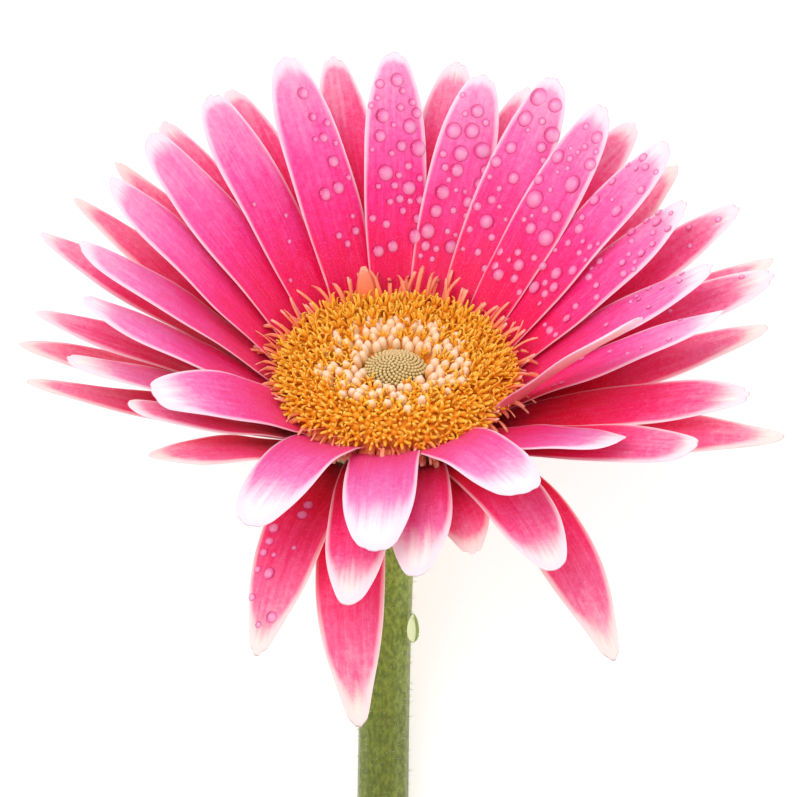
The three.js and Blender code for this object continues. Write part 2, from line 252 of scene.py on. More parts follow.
def strand(centres, widths, sides, flatness=1.0, *, hint):
    """A closed tube along the centres; flatness below 1 makes a strip that lies across the hint."""
    points = [centres[0]]
    for i, (centre, width) in enumerate(zip(centres, widths)):
        ahead = centres[min(i + 1, len(centres) - 1)]
        behind = centres[max(i - 1, 0)]
        along = (ahead - behind).normalized()
        across = hint.cross(along).normalized()
        out = along.cross(across)
        for k in range(sides):
            angle = math.tau * k / sides
            offset = across * math.cos(angle) + out * (math.sin(angle) * flatness)
            points.append(centre + offset * width)
    points.append(centres[-1])
    return points, tube_faces(len(centres), sides)


def tube_faces(rings, sides):
    """The faces of rings of points between a first and a last pole."""
    faces = []
    last = rings * sides + 1
    for k in range(sides):
        following = (k + 1) % sides
        faces.append((0, 1 + following, 1 + k))
        for r in range(rings - 1):
            here = 1 + r * sides
            there = here + sides
            faces.append((here + k, here + following, there + following, there + k))
        end = 1 + (rings - 1) * sides
        faces.append((end + k, end + following, last))
    return faces


def by_ring(first, rings, last, sides):
    """A value for each point of a tube: its first pole, its rings and its last pole."""
    return [first] + [value for value in rings for _ in range(sides)] + [last]


# ---- Reading the frame ----

def rings_between_poles(node):
    """A lofted CAD solid as its rings of points, from one pole to the other."""
    work = bmesh.new()
    work.from_mesh(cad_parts[node].data)
    bmesh.ops.remove_doubles(work, verts=work.verts, dist=1e-6)
    points = [v.co.copy() for v in work.verts]
    near = [[e.other_vert(v).index for e in v.link_edges] for v in work.verts]
    work.free()
    first, last = sorted(range(len(points)), key=lambda i: -len(near[i]))[:2]
    layers = [[first]]
    seen = {first}
    while layers[-1] != [last]:
        layer = sorted({j for i in layers[-1] for j in near[i]} - seen)
        seen.update(layer)
        layers.append(layer)
    return [[points[i] for i in layer] for layer in layers]


cup_rings = rings_between_poles("receptacle")
PLATE = max(cup_rings[0][0], cup_rings[-1][0], key=lambda p: p.z)
FOOT = min(cup_rings[0][0], cup_rings[-1][0], key=lambda p: p.z)
AXIS = (PLATE - FOOT).normalized()
DISC = PLATE + AXIS * PLATE_TO_DISC
RIGHT = Vector((1, 0, 0))
REAR = AXIS.cross(RIGHT)
HEAD = Matrix.Translation(DISC) @ Matrix((RIGHT, REAR, AXIS)).transposed().to_4x4()


def around(turn, radius, height):
    """A point of the head, from a turn in radians, and a radius and height in millimetres."""
    local = Vector((radius * math.cos(turn), radius * math.sin(turn), height)) * MM
    return HEAD @ local


def toward(turn, out, up):
    """A direction of the head, from how far it goes outwards and upwards."""
    return (around(turn, out, up) - around(turn, 0, 0)).normalized()


class Ray:
    """A ray floret's spine, width and roll, read from its CAD solid."""

    def __init__(self, node):
        rings = rings_between_poles(node)
        if (rings[0][0] - DISC).length > (rings[-1][0] - DISC).length:
            rings.reverse()
        middle = rings[MIDDLE_SECTION]
        edges = max(((a, b) for a in middle for b in middle), key=lambda pair: (pair[0] - pair[1]).length)
        between = (edges[0] + edges[1]) / 2
        across = (edges[0] - edges[1]).normalized()
        faces = sorted(middle, key=lambda p: abs((p - between).dot(across)))[:2]
        centre = (faces[0] + faces[1]) / 2
        root, tip = rings[0][0], rings[-1][0]
        along = (tip - root).normalized()
        level = AXIS.cross(along).normalized()
        if across.dot(level) < 0:
            across.negate()
        self.roll = math.atan2(across.dot(along.cross(level)), across.dot(level))
        self.root = np.array(root)
        self.tip = np.array(tip)
        self.knee = 2 * np.array(centre) - (self.root + self.tip) / 2
        self.half_width = (edges[0] - edges[1]).length / 2 / WIDTH_AT_MIDDLE
        steps = self.spine(np.linspace(0, 1, SPINE_STEPS))
        self.length = float(np.linalg.norm(np.diff(steps, axis=0), axis=1).sum())

    def spine(self, t):
        t = np.asarray(t)[..., None]
        return (1 - t) ** 2 * self.root + 2 * t * (1 - t) * self.knee + t**2 * self.tip

    def frame_at(self, t):
        """Directions along, across and out of the ray at shares t of its spine."""
        share = np.asarray(t)[..., None]
        along = unit((1 - share) * (self.knee - self.root) + share * (self.tip - self.knee))
        level = unit(np.cross(np.array(AXIS), along))
        turn = self.roll * smooth(ROLL_FROM, ROLL_TO, share)
        across = level * np.cos(turn) + np.cross(along, level) * np.sin(turn)
        return along, across, np.cross(along, across)


# ---- Ray florets ----

def blade_width(t, whorl, claw, shoulder):
    """Share of the full width at a share t of the length: a claw, an oval blade and a tip."""
    widest_at, taper, suddenness = OUTLINES[whorl]
    swell = np.sin(math.pi / 2 * np.minimum(t / widest_at, 1)) ** shoulder
    past = np.maximum((t - widest_at) / (1 - widest_at), 0)
    return (claw + (1 - claw) * swell) * (1 - taper * past**suddenness)


class Petal(Ray):
    """The modelled form of a ray floret: a thin blade with grooves, waves and a toothed tip."""

    def __init__(self, node, whorl, number):
        super().__init__(node)
        own = random.Random(node)
        self.whorl = whorl
        self.half_width *= BROADER.get((whorl, number), 1.0)
        broad = number in BROAD_RAYS[whorl]
        self.shoulder = BROAD_SHOULDER if broad else SHOULDER
        self.claw = BROAD_CLAW_SHARE if broad else CLAW_SHARE
        self.bare = 1.0 if (whorl, number) == TURNED_RAY else 0.0
        self.pale_tip = PALE_TIPS[whorl].get(number, USUAL_TIP)
        self.violet = VIOLET[whorl].get(number, 0.0)
        self.seed = own.uniform(0, 50)
        self.phases = [own.uniform(0, math.tau) for _ in range(4)]
        self.pointed = own.uniform(0.05, 0.085) * (1.5 if whorl == "outer" else 1.0)
        self.tooth = own.uniform(0.1, 0.3 if broad else 0.6) * MM
        self.slant = own.uniform(-0.03, 0.03)

    def half_at(self, t):
        return self.half_width * blade_width(t, self.whorl, self.claw, self.shoulder)

    def reach(self, u):
        """Share of the spine at which the line across at u ends: the tip's outline."""
        teeth = np.exp(-(((np.abs(u) - GROOVE_AT) / TOOTH_WIDTH) ** 2)) * self.tooth / self.length
        return 1 - self.pointed * np.abs(u) ** 2.6 - self.slant * u - teeth

    def wave(self, t, u):
        """Height of the blade's slow waves over its own middle line."""
        side = np.where(u > 0, self.phases[0], self.phases[1])
        ripple = np.sin(7 * t + side) + 0.5 * np.sin(15 * t + 2 * side + self.phases[2])
        return EDGE_WAVE * ripple * np.abs(u) ** 1.6 * smooth(0.1, 0.5, t)

    def surface(self, t, u, side):
        """Points of the upper (side 1) or lower (side -1) face, at shares t along and u across."""
        s = t * self.reach(u)
        half = self.half_at(t)
        cup = (0.2 - 0.35 * s) * half * u**2
        grooves = np.exp(-(((np.abs(u) - GROOVE_AT) / GROOVE_WIDTH) ** 2)) * smooth(0.05, 0.3, s)
        belly = np.sqrt(np.clip(1 - u**4, 0, 1)) * np.sqrt(np.clip(1 - t**10, 0, 1))
        rise = cup + self.wave(s, u) - GROOVE_DEPTH * grooves + side * RAY_THICKNESS / 2 * belly
        _, across, out = self.frame_at(s)
        return self.spine(s) + across * (u * half)[..., None] + out * rise[..., None]

    def flat(self, t, u):
        """The same points on the flattened blade: across and along it, in millimetres."""
        x = u * self.half_at(t)
        y = t * self.reach(u) * self.length
        return np.stack([x, y], -1) / MM


def petal_piece(petal, name, node, slot, material):
    across = np.sin(np.linspace(-1, 1, RAY_COLUMNS) * math.pi / 2)
    t, u = np.meshgrid(np.linspace(0, 1, RAY_ROWS), across, indexing="ij")
    t = 1 - (1 - t) ** 1.25  # rows stand closer together towards the tip
    flat = petal.flat(t, u)
    outline = np.concatenate([flat[:, 0], flat[-1], flat[:, -1]])
    rim = np.linalg.norm(flat[:, :, None] - outline[None, None], axis=-1).min(-1)
    upper = np.arange(RAY_ROWS * RAY_COLUMNS).reshape(RAY_ROWS, RAY_COLUMNS)
    lower = upper.copy()
    inner_count = (RAY_ROWS - 2) * (RAY_COLUMNS - 2)
    lower[1:-1, 1:-1] = upper.size + np.arange(inner_count).reshape(RAY_ROWS - 2, RAY_COLUMNS - 2)
    inside = (slice(1, -1), slice(1, -1))
    upper_points = petal.surface(t, u, 1).reshape(-1, 3)
    lower_points = petal.surface(t, u, -1)[inside].reshape(-1, 3)
    points = np.concatenate([upper_points, lower_points])

    def both(values):
        return np.concatenate([values.reshape(upper.size, -1), values[inside].reshape(inner_count, -1)])

    spread = np.stack([(u + 1) / 4, t], -1)
    quads = []
    corners = []
    for grid, shift, order in ((upper, 0.0, (0, 1, 2, 3)), (lower, 0.5, (3, 2, 1, 0))):
        ring = [grid[:-1, :-1], grid[:-1, 1:], grid[1:, 1:], grid[1:, :-1]]
        maps = [spread[:-1, :-1], spread[:-1, 1:], spread[1:, 1:], spread[1:, :-1]]
        quads.append(np.stack([ring[i] for i in order], -1).reshape(-1, 4))
        corners.append(np.stack([maps[i] + (shift, 0) for i in order], -2).reshape(-1, 2))
    mesh = bpy.data.meshes.new(name)
    mesh.from_pydata(points.tolist(), [], np.concatenate(quads).tolist())
    mesh.uv_layers.new(name="OFBake").data.foreach_set("uv", np.concatenate(corners).ravel())
    count = len(points)
    upper_side = np.concatenate([np.ones(upper.size), np.zeros(inner_count)])
    columns = {
        "along": both(flat[..., 1:] * MM / petal.length)[:, 0],
        "rim": both(rim)[:, 0],
        "upper": upper_side,
        "pale": both((petal.length / MM - flat[..., 1:]) / petal.pale_tip)[:, 0],
        "violet": np.full(count, petal.violet),
        "bare": np.full(count, petal.bare),
        "blade": np.concatenate([both(flat), np.full((count, 1), petal.seed)], 1),
    }
    for key, column in columns.items():
        write_values(mesh, key, column)
    place_piece(name, mesh, slot, material, node)


# ---- Materials ----

class Graph:
    """A material's nodes, written as nested calls."""

    def __init__(self, name):
        self.material = bpy.data.materials.new(name)
        self.material.use_nodes = True
        self.tree = self.material.node_tree
        self.tree.nodes.clear()

    def node(self, kind, inputs=(), **settings):
        made = self.tree.nodes.new(kind)
        for key, value in settings.items():
            setattr(made, key, value)
        pairs = inputs.items() if isinstance(inputs, dict) else enumerate(inputs)
        for key, value in pairs:
            if isinstance(value, bpy.types.NodeSocket):
                self.tree.links.new(value, made.inputs[key])
            else:
                made.inputs[key].default_value = value
        return made

    def value(self, name):
        return self.node("ShaderNodeAttribute", attribute_name=name).outputs["Fac"]

    def vector(self, name):
        return self.node("ShaderNodeAttribute", attribute_name=name).outputs["Vector"]

    def place(self):
        """Where a point is on the object, in metres."""
        return self.node("ShaderNodeTexCoord").outputs["Object"]

    def math(self, operation, a, b):
        return self.node("ShaderNodeMath", (a, b), operation=operation).outputs[0]

    def centred(self, noise):
        """Noise round 0 instead of round a half."""
        return self.math("SUBTRACT", noise, 0.5)

    def plus(self, value, other, share):
        """The value with a share of the other added."""
        return self.math("ADD", value, self.math("MULTIPLY", other, share))

    def step(self, value, low, high, start=0.0, end=1.0):
        """start below low, end above high, and an even curve between them."""
        inputs = {"Value": value, "From Min": low, "From Max": high, "To Min": start, "To Max": end}
        return self.node("ShaderNodeMapRange", inputs, interpolation_type="SMOOTHSTEP").outputs["Result"]

    def mix(self, share, a, b, blend="MIX"):
        inputs = {0: share, 6: a, 7: b}
        return self.node("ShaderNodeMix", inputs, data_type="RGBA", blend_type=blend).outputs[2]

    def ramp(self, value, stops):
        made = self.node("ShaderNodeValToRGB", (value,))
        elements = made.color_ramp.elements
        while len(elements) < len(stops):
            elements.new(0.5)
        for element, (place, colour) in zip(elements, stops):
            element.position = place
            element.color = paint(colour)
        return made.outputs["Color"]

    def scaled(self, vector, scale):
        inputs = {"Vector": vector, "Scale": scale}
        return self.node("ShaderNodeMapping", inputs).outputs["Vector"]

    def noise(self, vector, scale, detail, roughness=0.5):
        inputs = {"Vector": vector, "Scale": scale, "Detail": detail, "Roughness": roughness}
        return self.node("ShaderNodeTexNoise", inputs).outputs["Fac"]

    def bump(self, height, distance, strength):
        inputs = {"Height": height, "Distance": distance, "Strength": strength}
        return self.node("ShaderNodeBump", inputs).outputs["Normal"]

    def finish(self, **inputs):
        named = {key.replace("_", " "): value for key, value in inputs.items()}
        shader = self.node("ShaderNodeBsdfPrincipled", named)
        self.node("ShaderNodeOutputMaterial", (shader.outputs[0],))
        return self.material


def ray_material(name, stops, violet_stops, tip, edge, under):
    """along, rim and pale say where on the ray a point is: from the root, the edge and the tip."""
    g = Graph(name)
    blade = g.vector("blade")
    along = g.value("along")
    rim = g.value("rim")
    pale = g.value("pale")
    streaks = g.centred(g.noise(g.scaled(blade, (1.9, 0.09, 1)), 1.0, 3))
    hairlines = g.noise(g.scaled(blade, (6.5, 0.2, 1)), 1.0, 2)
    clouds = g.centred(g.noise(g.scaled(blade, (0.5, 0.2, 1)), 1.0, 3))
    grain = g.noise(blade, 4.5, 3, 0.7)
    mottle = g.centred(g.noise(blade, 1.2, 2, 0.6))
    drift = along
    for blur, share in ((streaks, 0.3), (mottle, 0.26), (clouds, 0.22)):
        drift = g.plus(drift, blur, share)
    colour = g.ramp(drift, stops)
    colour = g.mix(g.value("violet"), colour, g.ramp(drift, violet_stops))
    light = g.mix(0.24, colour, paint("FFC4E4"))
    dark = g.mix(1.0, colour, paint("F07AB4"), "MULTIPLY")
    colour = g.mix(g.step(hairlines, 0.52, 0.78, 0, 0.35), colour, light)
    colour = g.mix(g.step(grain, 0.52, 0.7, 0, 0.45), colour, light)
    colour = g.mix(g.step(grain, 0.47, 0.3, 0, 0.4), colour, dark)
    lower = g.math("SUBTRACT", 1.0, g.value("upper"))
    colour = g.mix(g.math("MULTIPLY", lower, 0.5), colour, paint(under))
    back = g.mix(g.step(along, 0.35, 0.9), paint("F58C96"), paint("FBDCCB"))
    bare_back = g.math("MULTIPLY", lower, g.value("bare"))
    shown = g.math("MULTIPLY", bare_back, g.step(streaks, -0.3, 0.1, 0.7, 0.95))
    colour = g.mix(shown, colour, back)
    ragged = g.plus(g.math("MULTIPLY", streaks, 1.6), g.centred(grain), 0.8)
    from_tip = g.math("ADD", pale, ragged)
    colour = g.mix(g.step(from_tip, 1.8, 0.2, 0, 0.96), colour, paint(tip))
    width = g.math("ADD", g.step(along, 0.1, 0.8, 0.22, 0.62), g.step(pale, 2.4, 0.3, 0, 0.8))
    from_rim = g.math("DIVIDE", g.plus(rim, ragged, 0.25), width)
    rim_share = g.math("MULTIPLY", g.step(from_rim, 1.5, 0.2), g.step(along, 0.2, 0.8, 0.5, 0.92))
    colour = g.mix(rim_share, colour, paint(edge))
    veins = g.plus(g.math("MULTIPLY", hairlines, 0.6), grain, 0.4)
    return g.finish(
        Base_Color=colour,
        Roughness=g.step(grain, 0.3, 0.7, 0.5, 0.36),
        Normal=g.bump(veins, 0.14 * MM, 0.6),
        Specular_IOR_Level=0.18,
        Sheen_Weight=0.05,
        Subsurface_Weight=0.12,
        Subsurface_Radius=(0.8, 0.3, 0.35),
        Subsurface_Scale=0.8 * MM,
    )


def floret_material(name, stops, roughness=0.55):
    """tone runs from a floret's foot to its tip, and own differs from floret to floret."""
    g = Graph(name)
    place = g.place()
    grain = g.noise(place, 2200, 2)
    tone = g.plus(g.value("tone"), g.centred(grain), 0.35)
    colour = g.ramp(tone, stops)
    darker = g.mix(1.0, colour, colour, "MULTIPLY")
    colour = g.mix(g.step(g.value("own"), 0.0, 1.0, 0.0, 0.14), colour, darker)
    return g.finish(
        Base_Color=colour,
        Roughness=roughness,
        Normal=g.bump(grain, 0.08 * MM, 0.5),
        Subsurface_Weight=0.1,
        Subsurface_Radius=(0.8, 0.5, 0.2),
        Subsurface_Scale=0.6 * MM,
    )


def green_material(name, dark, light, scale, sheen=0.3):
    """Green plant skin; a value that runs from 0 to 1 down the stem darkens it towards the cut end, and cut
    marks a cut face.
    """
    g = Graph(name)
    place = g.place()
    blotches = g.noise(g.scaled(place, (1, 0.55, 1)), scale, 4, 0.65)
    fibres = g.noise(g.scaled(place, (1, 0.06, 1)), scale * 5, 2)
    colour = g.mix(g.step(blotches, 0.36, 0.66), paint(dark), paint(light))
    colour = g.mix(g.step(fibres, 0.5, 0.75, 0, 0.25), colour, paint("A2B24C"))
    # darker towards the stem's cut end
    darkened_down_stem = g.mix(1.0, colour, paint("D2CCA4"), "MULTIPLY")
    colour = g.mix(g.value("age"), colour, darkened_down_stem)
    pith = g.mix(g.step(blotches, 0.4, 0.6), paint("C9CF92"), paint("E4E6BE"))
    colour = g.mix(g.value("cut"), colour, pith)
    height = g.plus(g.math("MULTIPLY", fibres, 0.7), blotches, 0.3)
    return g.finish(
        Base_Color=colour,
        Roughness=g.step(blotches, 0.3, 0.7, 0.6, 0.45),
        Normal=g.bump(height, 0.15 * MM, 0.5),
        Sheen_Weight=sheen,
        Sheen_Roughness=0.4,
    )


def painted_light_dew_material():
    """Drops on the rays, faintly pink, with light painted from their lens value: a darker ring of painted
    shade where a drop meets the ray, and a bright painted highlight on top.
    """
    g = Graph("dew")
    lens = g.value("lens")
    # this ramp paints the drop's light: its dark crimson end is painted shade, its light pinks are painted
    # light focused by the drop, and its near-white end is a painted highlight
    colour = g.ramp(lens, [(0.0, "C40A4A"), (0.3, "EC4A9C"), (0.6, "FF9CDA"), (1.0, "FFE4FA")])
    return g.finish(
        Base_Color=colour,
        Alpha=g.step(lens, 0.0, 0.5, 0.4, 0.55),
        Roughness=0.05,
        IOR=1.5,
        Specular_IOR_Level=0.6,
    )


def water_material():
    g = Graph("clear_water")
    place = g.place()
    ripple = g.noise(place, 900, 1)
    return g.finish(
        # the pale green tint is painted: it stands for the stem's green seen through the clear drop
        Base_Color=paint("E6F2C4"),
        Roughness=0.02,
        IOR=1.33,
        Transmission_Weight=1.0,
        Normal=g.bump(ripple, 0.02 * MM, 0.3),
    )


def floor_material():
    g = Graph("pale_table")
    place = g.place()
    cloud = g.noise(place, 3, 2)
    white = g.mix(cloud, paint("F7F7F6"), paint("FBFBFA"))
    return g.finish(Base_Color=white, Roughness=0.9, Emission_Color=white, Emission_Strength=0.4)


# ---- Building the head ----

PINK_STOPS = [(0.0, "E4003C"), (0.3, "F20A5C"), (0.5, "F42A86"), (0.7, "F55CAA"), (1.0, "F7A4CE")]
ROSE_STOPS = [(0.0, "C4002C"), (0.35, "E4063E"), (0.58, "EF1E66"), (0.76, "F3528E"), (1.0, "F7A2C0")]
CRIMSON_STOPS = [(0.0, "C0002A"), (0.35, "E00A3E"), (0.58, "EF306E"), (0.78, "F36494"), (1.0, "F8AEC0")]
VIOLET_STOPS = [(0.0, "D80A4C"), (0.35, "E22678"), (0.55, "E24696"), (0.78, "E47CBC"), (1.0, "F2CCE4")]
WHORLS = (
    ("inner", 20, "ray_pink", PINK_STOPS, "FDF2F5", "FCE0EE", "F7A0B4"),
    ("middle", 17, "ray_rose", ROSE_STOPS, "FDF3EC", "FCE0E8", "F59A98"),
    ("outer", 13, "ray_crimson", CRIMSON_STOPS, "FCF4E0", "FCE0DE", "F5968E"),
)


def build_rays():
    petals = {}
    for whorl, count, slot, stops, tip, edge, under in WHORLS:
        material = ray_material(f"{slot}_skin", stops, VIOLET_STOPS, tip, edge, under)
        for number in range(1, count + 1):
            node = f"ray_{whorl}_{number:02d}"
            petal = Petal(node, whorl, number)
            petal_piece(petal, f"petal_{whorl}_{number:02d}", node, slot, material)
            petals[whorl, number] = petal
    return petals


def spiral(inner, outer, spacing):
    """Turns and radii of florets packed between two radii, in the golden spiral."""
    index = int((inner / spacing) ** 2)
    while True:
        radius = spacing * math.sqrt(index + 0.5)
        if radius > outer:
            return
        if radius >= inner:
            yield index * GOLDEN_ANGLE, radius
        index += 1


def build_buds():
    """The tight unopened florets in the middle of the disc."""
    shape = Shape()
    sides = 6
    for turn, radius in spiral(0, BUDS_TO, BUD_SPACING):
        dome = BUD_DOME - BUD_FALL * radius**2
        tall = rng.uniform(0.16, 0.3)
        width = rng.uniform(0.26, 0.31)
        heights = [-1.6, 0, tall * 0.5, tall * 0.85, tall]
        widths = [width * MM * k for k in (0.8, 1, 0.95, 0.6, 0.2)]
        lean = 0.05 * radius
        centres = [around(turn, radius + lean * h, dome + h - tall) for h in heights]
        points, faces = strand(centres, widths, sides, hint=RIGHT)
        tones = by_ring(0.0, [k / 4 for k in range(5)], 1.0, sides)
        shape.add(points, faces, tone=tones, own=rng.random())
    material = floret_material("bud_skin", [(0.0, "B89E5C"), (0.5, "D4B878"), (1.0, "E6CE98")], 0.7)
    shape.piece("unopened_florets", "bud_beige", material, "disc_buds")


def closed_floret(shape, turn, radius, height, size):
    """A pale floret still shut: a ribbed egg with five bulging lobes."""
    rows = 7
    sides = 15
    tall = size * 1.7
    dimple = size * 1.66  # height of the middle of its top, a little under its rim
    girth = size * 0.42
    lean = math.radians(rng.uniform(-6, 16) + 2.2 * radius)
    up = toward(turn, math.sin(lean), math.cos(lean))
    foot = around(turn, radius, height - tall)
    side = up.cross(RIGHT).normalized()
    front = side.cross(up)
    spin = rng.uniform(0, math.tau)
    points = [foot]
    for row in range(rows):
        share = row / (rows - 1)
        body = 0.42 + 0.58 * math.sin(math.pi * (0.12 + 0.8 * share)) ** 0.8
        if share > 0.85:
            body *= 0.6
        for k in range(sides):
            angle = math.tau * k / sides
            lobe = 1 + 0.16 * share * math.cos(5 * angle)
            reach = girth * body * lobe * MM
            out = side * math.cos(angle + spin) + front * math.sin(angle + spin)
            points.append(foot + up * (tall * share * MM) + out * reach)
    points.append(foot + up * (dimple * MM))
    tones = by_ring(0.0, [row / (rows - 1) for row in range(rows)], 1.0, sides)
    shape.add(points, tube_faces(rows, sides), tone=tones, own=rng.random())


def open_floret(shape, turn, radius, height, lean, size):
    """An open disc floret: a flared tube, five lobes that curl over, and the anther column in it."""
    outward = toward(turn, 1, 0)
    up = (outward * math.sin(lean) + AXIS * math.cos(lean)).normalized()
    side = AXIS.cross(outward)
    front = side.cross(up)
    mouth = around(turn, radius, height)
    lobes = 5
    tube_sides = 7
    lobe_sides = 5
    own = rng.random()
    foot = mouth - up * (size * 3.4 * MM)
    tube = [foot, mouth - up * (size * 1.5 * MM), mouth - up * (size * 0.4 * MM), mouth]
    points, faces = strand(tube, [size * w * MM for w in (0.22, 0.3, 0.42, 0.46)], tube_sides, hint=side)
    shape.add(points, faces, tone=by_ring(0.0, [k / 6 for k in range(4)], 0.3, tube_sides), own=own)
    spin = rng.uniform(0, math.tau)
    for k in range(lobes):
        angle = spin + math.tau * (k + rng.uniform(-0.12, 0.12)) / lobes
        away = side * math.cos(angle) + front * math.sin(angle)
        reach = size * rng.uniform(0.9, 1.6) * MM
        curl = rng.uniform(0.2, 0.75)
        start = mouth + away * (size * 0.36 * MM) - up * (size * 0.3 * MM)
        bend = start + away * reach * 0.25 + up * reach * 0.45
        over = start + away * reach * (0.3 + 0.3 * curl) + up * reach * (0.85 - 0.2 * curl)
        tip = start + away * reach * (0.35 + 0.65 * curl) + up * reach * (1.15 - 0.7 * curl)
        widths = [size * w * MM for w in (0.26, 0.27, 0.22, 0.1)]
        points, faces = strand([start, bend, over, tip], widths, lobe_sides, 0.5, hint=up)
        shape.add(points, faces, tone=by_ring(0.35, (0.4, 0.6, 0.8, 1.0), 1.0, lobe_sides), own=own)
    if rng.random() < 0.5:
        top = mouth + up * (size * rng.uniform(0.8, 1.5) * MM)
        middle = (mouth + top) / 2
        widths = [size * w * MM for w in (0.2, 0.21, 0.14)]
        points, faces = strand([mouth, middle, top], widths, lobe_sides, hint=side)
        tones = by_ring(0.5, (0.5, 0.7, 1.0), 1.0, lobe_sides)
        shape.add(points, faces, tone=tones, own=min(1.0, own + 0.2))


def floret_bed(shape):
    """What shows between the open florets: their crowded feet, as one low mound."""
    points = []
    for radius, height in BED_PROFILE:
        for k in range(BED_SIDES):
            ripple = 0.12 * math.sin(k * 2.4 + radius * 3)
            points.append(around(math.tau * k / BED_SIDES, radius, height + ripple))
    faces = []
    for r in range(len(BED_PROFILE)):
        here = r * BED_SIDES
        there = (r + 1) % len(BED_PROFILE) * BED_SIDES
        for k in range(BED_SIDES):
            following = (k + 1) % BED_SIDES
            faces.append((here + k, there + k, there + following, here + following))
    shape.add(points, faces, tone=0.15, own=0.5)


ORANGE_STOPS = [(0.0, "F48C0C"), (0.35, "FFA814"), (0.7, "FFC030"), (1.0, "FFD55E")]
PALE_STOPS = [(0.0, "F0A83C"), (0.35, "F8C070"), (0.7, "FCD2A2"), (1.0, "FDE2C6")]
CORAL_STOPS = [(0.0, "F07424"), (0.4, "F8844C"), (0.8, "FA9470"), (1.0, "FCB89C")]


def build_open_disc():
    pale = Shape()
    orange = Shape()
    floret_bed(orange)
    for turn, radius in spiral(MIXED_FROM, MIXED_TO, MIXED_SPACING):
        chance = max([share for low, high, share in PALE_ZONES if low < radius < high], default=USUAL_PALE)
        height = 0.6 + 0.12 * radius + rng.uniform(-0.15, 0.25)
        if rng.random() < chance:
            top = height + 0.9 - 0.4 * math.sin(turn)
            closed_floret(pale, turn, radius, top, rng.uniform(1.4, 1.9))
        else:
            lean = math.radians(3 * radius)
            open_floret(orange, turn, radius, height - 0.2, lean, rng.uniform(0.8, 1.05))
    for turn, radius in spiral(OPEN_FROM, OPEN_FROM + OPEN_BAND, OPEN_SPACING):
        height = 2.0 - 0.05 * (radius - 13) ** 2 + rng.uniform(-0.4, 0.4)
        frontal = max(0, -math.sin(turn))
        share = (radius - OPEN_FROM) / OPEN_BAND
        lean = math.radians(mix(25, 66, share) + 12 * frontal * share + rng.uniform(-10, 10))
        out = radius + 1.8 * frontal * share
        open_floret(orange, turn, out, height - 0.4 * frontal, lean, rng.uniform(0.95, 1.3))
    material = floret_material("pale_floret_skin", PALE_STOPS)
    pale.piece("pale_florets", "floret_pale", material, "disc_florets_pale")
    material = floret_material("orange_floret_skin", ORANGE_STOPS)
    orange.piece("orange_florets", "floret_orange", material, "disc_florets_orange")


def build_crown():
    """The fringe of narrow coral florets round the disc."""
    shape = Shape()
    for i in range(FRINGE_COUNT):
        curled_strip(shape, math.tau * (i + rng.uniform(-0.4, 0.4)) / FRINGE_COUNT)
    for _ in range(FRONT_COUNT):
        front_strip(shape)
    tongue = [around(TONGUE_AT, 15.3 + 0.3 * k, -0.5 + 0.76 * k) for k in range(FRINGE_STEPS)]
    fringe_strip(shape, TONGUE_AT, tongue, 1.5, TONGUE_TAPER, 0.14)
    material = floret_material("coral_floret_skin", CORAL_STOPS, 0.45)
    shape.piece("coral_fringe", "trans_coral", material, "trans_florets")


def curled_strip(shape, turn):
    """A floret with a curl of its own, which leans out further at the front of the disc."""
    rear = 0.5 + 0.5 * math.sin(turn)
    length = rng.uniform(4.2, 7.6) * mix(0.85, 1.0, rear)
    lean = math.radians(mix(74, 33, rear) + rng.uniform(-10, 12))
    curl = rng.uniform(-0.4, 1.5)
    drift = rng.uniform(-0.12, 0.12)
    radius = mix(15.6, 15.2, rear)
    height = mix(-0.6, -0.2, rear)
    centres = []
    for k in range(FRINGE_STEPS):
        share = k / (FRINGE_STEPS - 1)
        centres.append(around(turn + drift * share, radius, height))
        angle = lean + curl * max(0, share - 0.4) * 2.2
        radius += length / (FRINGE_STEPS - 1) * math.sin(angle)
        height += length / (FRINGE_STEPS - 1) * math.cos(angle)
    fringe_strip(shape, turn, centres, rng.uniform(0.22, 0.36), CURLED_TAPER, 0.35)


def front_strip(shape):
    """A broader floret that lies outwards at the front of the disc."""
    turn = math.radians(rng.uniform(FRONT_FROM, FRONT_TO))
    climb = rng.uniform(-0.02, 0.14)
    reach = rng.uniform(0.38, 0.66)
    places = [(15.2 + reach * k, -0.9 + climb * k - 0.02 * k * k) for k in range(FRINGE_STEPS)]
    centres = [around(turn, radius, height) for radius, height in places]
    fringe_strip(shape, turn, centres, rng.uniform(0.38, 0.55), FRONT_TAPER, 0.4)


def fringe_strip(shape, turn, centres, width, taper, flatness):
    widths = [width * MM * share for share in taper]
    points, faces = strand(centres, widths, FRINGE_SIDES, flatness, hint=toward(turn, 1, 0))
    last = len(centres) - 1
    tones = by_ring(0.0, [k / last for k in range(last + 1)], 1.0, FRINGE_SIDES)
    shape.add(points, faces, tone=tones, own=rng.random())


# ---- Receptacle and bracts ----

def cup_profile():
    """Radius of the receptacle's side against its height, both in millimetres in the head's frame."""
    inverse = HEAD.inverted()
    pairs = []
    for ring in cup_rings[1:-1]:
        local = [inverse @ p / MM for p in ring]
        pairs.append((local[0].z, math.hypot(local[0].x, local[0].y)))
    pairs.sort()
    return [h for h, _ in pairs], [r for _, r in pairs]


def build_bracts():
    heights, radii = cup_profile()
    inverse = HEAD.inverted()
    material = green_material("bract_skin", "55722A", "86A04A", 900)
    for row, node in enumerate(("involucre_inner", "involucre_middle", "involucre_outer")):
        local = [inverse @ v.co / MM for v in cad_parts[node].data.vertices]
        foot = min(p.z for p in local)
        top = max(p.z for p in local)
        shape = Shape()
        away = BRACT_STANDOFF + BRACT_ROW_STEP * row
        for i in range(BRACTS_IN_ROW):
            turn = math.tau * (i + row / 2) / BRACTS_IN_ROW + rng.uniform(-0.03, 0.03)
            bract(shape, turn, foot, top + rng.uniform(-0.4, 0.3), away, heights, radii)
        shape.piece(node.replace("involucre", "bracts"), "bract_green", material, node)


